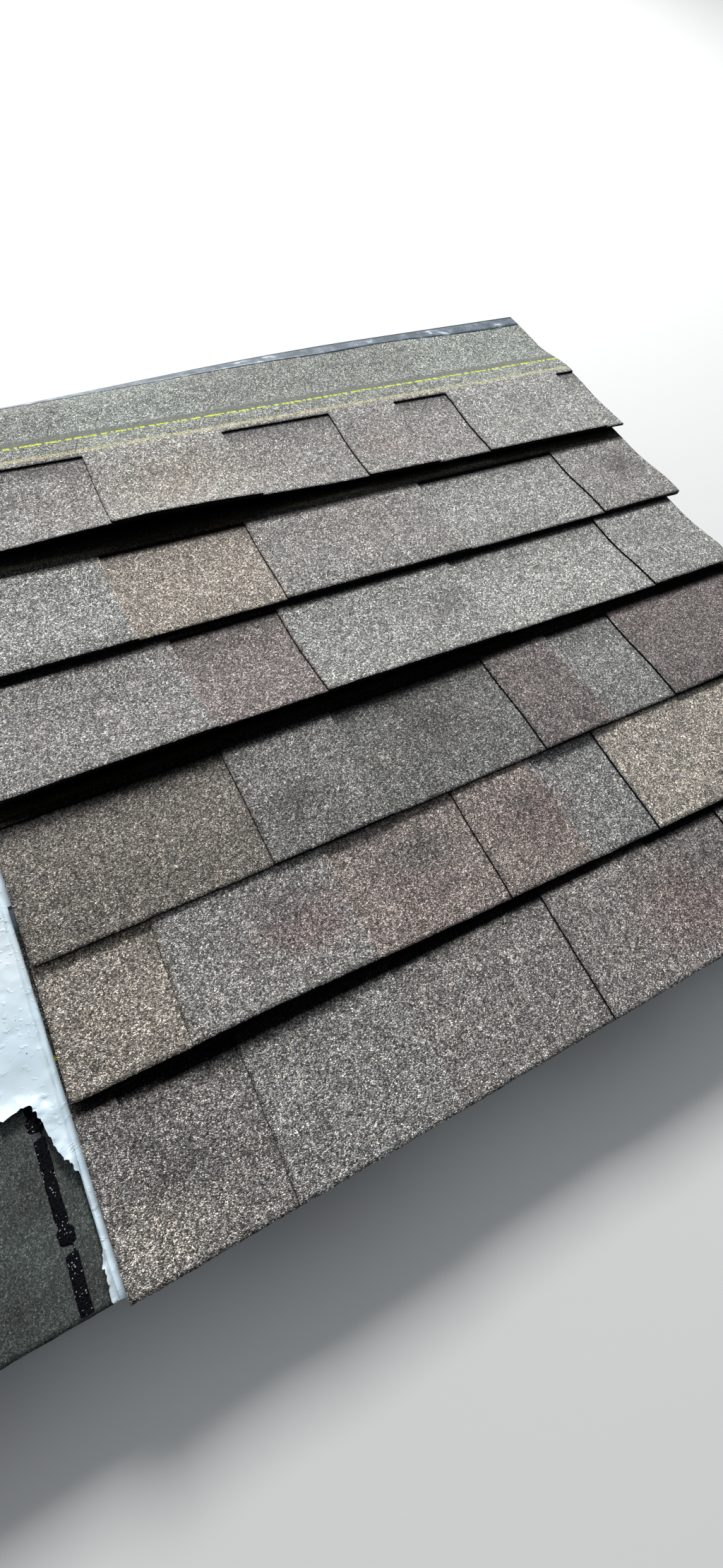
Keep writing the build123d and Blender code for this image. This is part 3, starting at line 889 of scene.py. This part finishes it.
def tint_with_painted_shade(u, s, edges, colours, blotches, painted_light, painted_shadow_start, recess_band_and_painted_shade):
    """The colour of each grid point, with a painted shadow as a fourth value. The colour is that of its
    drop with the blotches, times the course's painted brightness, and darker towards the top of a recess,
    partly printed and partly painted. The fourth value is almost black from its given start up, a painted
    shadow where the next shingle lies over it."""
    wobble = 0.004 * np.sin(u * 90.0 + s * 150.0)
    index = np.clip(np.searchsorted(edges, (u[0] + u[-1]) / 2, side="right") - 1, 0, len(colours) - 1)
    tint = np.array(colours)[index][None, :, :].repeat(u.shape[0], 0)
    for blot_u, blot_s, radius, colour, strength in blotches:
        amount = strength * np.exp(-((u - blot_u + wobble) ** 2 + ((s - blot_s) * 1.4) ** 2) / radius ** 2)
        tint = tint + (np.array(colour) - tint) * amount[..., None]
    # Darker towards the top of a recess: partly a printed shadow band, partly painted shade.
    near_top = np.clip(1.0 - (tooth_height - s) / recess_band_and_painted_shade_run, 0.0, 1.0)
    recess_darkening = np.where(s < tooth_height + recess_band_and_painted_shade_past, 1.0 - recess_band_and_painted_shade * near_top, 1.0)
    taper = painted_lap_shadow_taper * np.clip(1.0 - u / painted_lap_shadow_taper_end, 0.0, 1.0)
    in_painted_shadow = np.clip((s - painted_shadow_start - taper) / painted_lap_shadow_run, 0.0, 1.0)
    in_painted_shadow = in_painted_shadow * (1.0 - painted_lap_shadow_fade_share * np.exp(-(u / painted_lap_shadow_fade_end) ** 2))
    return np.dstack([tint * painted_light * recess_darkening[..., None], 1.0 - (1.0 - painted_lap_shadow) * in_painted_shadow])


laid = []
for index, (teeth, colours, blotches) in enumerate(courses):
    number = index + 1
    seed = 7.0 * number
    u, s, in_tooth, tooth_rows, backing_rows = shingle_grid(teeth, seed)
    at, seat, seat_at = lie_of_course(number, u, s)
    x, y = at(u, s)
    laid.append((seed, u[-1], at, seat_at))
    drops = (cut_places(teeth), colours, blotches, course_painted_light[index], painted_lap_shadow_starts[index])

    keep = np.ones((u.shape[0] - 1, u.shape[1] - 1), bool)
    keep[:tooth_rows, ~in_tooth] = False
    # A highlight is painted along the butt and along the far side of each tooth.
    painted_highlight = np.zeros(u.shape)
    painted_highlight[0] = butt_painted_highlight
    painted_highlight[:tooth_rows + 1, 1:-1][:, in_tooth[:-1] & ~in_tooth[1:]] = side_painted_highlight
    sheet = ply_piece(f"fan_sheet_{number}", x, y, seat + ply, ply, keep, u, s,
                      [granules, mineral_back, cut_edge], tint_with_painted_shade(u, s, *drops, 0.0), painted_highlight)
    finish_piece(sheet, "granules", f"toothed_sheet_{number}")

    strip = slice(0, backing_rows + 1)
    keep = np.ones((backing_rows, u.shape[1] - 1), bool)
    tint = tint_with_painted_shade(u[strip], s[strip], *drops, recess_band_and_painted_shades[index])
    no_painted_highlight = np.zeros(u[strip].shape)
    backing = ply_piece(f"fan_backing_{number}", x[strip], y[strip], seat[strip] - lamination_gap, ply, keep,
                        u[strip], s[strip], [granules, mineral_back, cut_edge], tint, no_painted_highlight)
    finish_piece(backing, "backing", f"backing_strip_{number}")


# ---- The release films ----
# A strip of thin shiny plastic film is pressed onto the top edge of each sheet, so that the
# sealant of the shingle packed against it doesn't stick. It is dark and rubbed pale in places,
# and its inner edge is wavy.
release_width = 0.025
release_waviness = 0.22
release_waves = 7.0
release_thickness = 0.0003
release_clearance = 0.00005
release_rows = 5
dark_edge_half_width = 0.0030

release_film, tree, shader = new_material("release_film", 0.34, 0.3)
rub = node(tree, "ShaderNodeTexNoise", Vector=place_of(tree), Scale=60.0, Detail=6.0)
rub_tone = ramp(tree, rub.outputs["Fac"], ((0.40, (0.075, 0.098, 0.12)), (0.58, (0.15, 0.19, 0.23)),
                                           (0.68, (0.46, 0.53, 0.58))))
dark_edge = line_mask(tree, along_and_up(tree)[1], shingle_height, dark_edge_half_width, 0.0016)
tree.links.new(blend(tree, dark_edge, rub_tone, (0.022, 0.026, 0.031)), shader.inputs["Base Color"])
raise_relief(tree, shader, rub.outputs["Fac"], 0.0015)

for number, (seed, top_columns, at, seat_at) in enumerate(laid, 1):
    u = np.clip(top_columns[None, :].repeat(release_rows, 0), 0.0, shingle_length)
    width = release_width * (1.0 + release_waviness * wander(u[0], release_waves, seed + 61.0))
    s = shingle_height - np.linspace(1.0, 0.0, release_rows)[:, None] * width
    x, y = at(u, s)
    top = seat_at(u, s) + ply + release_clearance + release_thickness
    keep = np.ones((release_rows - 1, len(top_columns) - 1), bool)
    release = ply_piece(f"release_film_{number}", x, y, top, release_thickness, keep, u, s,
                        [release_film, release_film, release_film])
    finish_piece(release, "release_film", "release_films")


# ---- The fan's sealant ----
# Each fanned shingle has the same strip of sealant dashes rolled on its back, beside its butt
# edge. It is on the backing strip and faces the course below.
fan_bead_step = 0.004
points, faces = [], []
for seed, _, at, seat_at in laid:
    bead, quads = sealant_bead(at, lambda u, s: seat_at(u, s) - lamination_gap - ply, -1, fan_bead_step, seed)
    faces.append(quads + sum(len(part) for part in points))
    points.append(bead)
fan_beads = shaded_mesh("fan_sealant_strips", np.concatenate(points).tolist(),
                        np.concatenate(faces).tolist(), [sealant])
finish_piece(fan_beads, "sealant", "sealant_strips")


# ---- The studio ----
# A plain pale floor under a large soft lamp that stands behind the fan, with an even fill from
# all round. The camera stands over the fan's front left corner and looks down along it.
floor_half = 6.0
floor_corners = [(-floor_half, -floor_half, 0.0), (floor_half, -floor_half, 0.0),
                 (floor_half, floor_half, 0.0), (-floor_half, floor_half, 0.0)]
floor = shaded_mesh("floor", floor_corners, [(0, 1, 2, 3)], [])
floor_paint, tree, shader = new_material("floor_paint", 0.9, 0.2)
shader.inputs["Base Color"].default_value = (0.72, 0.72, 0.71, 1.0)
floor.data.materials.append(floor_paint)

lamp_place = Vector((1.0, 3.3, 2.9))
faced_place = Vector((0.3, 0.0, 0.1))
lamp = bpy.data.lights.new("softbox", "AREA")
lamp.shape = "RECTANGLE"
lamp.size, lamp.size_y = 1.5, 1.1
lamp.energy = 235.0
softbox = bpy.data.objects.new("softbox", lamp)
softbox.location = lamp_place
softbox.rotation_mode = "QUATERNION"
softbox.rotation_quaternion = (faced_place - lamp_place).to_track_quat("-Z", "Y")
bpy.context.scene.collection.objects.link(softbox)

# The fill is brightest from the lamp's side and from above.
world = bpy.data.worlds.new("fill")
bpy.context.scene.world = world
world.use_nodes = True
tree = world.node_tree
towards = tree.nodes.new("ShaderNodeTexCoord").outputs["Generated"]
towards = node(tree, "ShaderNodeSeparateXYZ", Vector=towards)
lit_side = calculate(tree, "MULTIPLY_ADD", towards.outputs["Y"], 0.4, 0.5)
lit_side = calculate(tree, "MULTIPLY_ADD", towards.outputs["Z"], 0.25, lit_side)
fill = ramp(tree, lit_side, ((0.30, (0.018, 0.019, 0.020)), (0.46, (0.075, 0.079, 0.083)),
                             (0.75, (0.42, 0.44, 0.46)), (0.95, (0.66, 0.69, 0.72))))
tree.links.new(fill, tree.nodes["Background"].inputs["Color"])

# The camera's view follows from two vanishing points in the picture, in pixels from its centre:
# those of the shingles' length and of the bundles' length, which is turned a degree from it.
picture_long_side = 2220.0
along_vanishing = Vector((2782.0, -1013.5))
up_vanishing = Vector((-1146.0, -2111.5))
fan_turn = radians(1.0)
camera_place = (-0.062, -0.481, 0.7608)
focal = sqrt(-along_vanishing.dot(up_vanishing))
ray_x = Vector((*along_vanishing, focal)).normalized()
ray_y = Vector((*up_vanishing, focal)).normalized()
ray_z = ray_x.cross(ray_y)
axis_x = cos(fan_turn) * ray_x + sin(fan_turn) * ray_y
axis_y = cos(fan_turn) * ray_y - sin(fan_turn) * ray_x
camera_right = Vector((axis_x[0], axis_y[0], ray_z[0]))
camera_down = Vector((axis_x[1], axis_y[1], ray_z[1]))
camera_forward = Vector((axis_x[2], axis_y[2], ray_z[2]))
lens = bpy.data.cameras.new("camera")
lens.sensor_width = 36.0
lens.lens = focal / picture_long_side * lens.sensor_width
lens.clip_start = 0.01
camera = bpy.data.objects.new("camera", lens)
turn = Matrix((camera_right, -camera_down, -camera_forward)).transposed().to_4x4()
camera.matrix_world = Matrix.Translation(camera_place) @ turn
bpy.context.scene.collection.objects.link(camera)
bpy.context.scene.camera = camera
bpy.context.scene.view_settings.view_transform = "Standard"
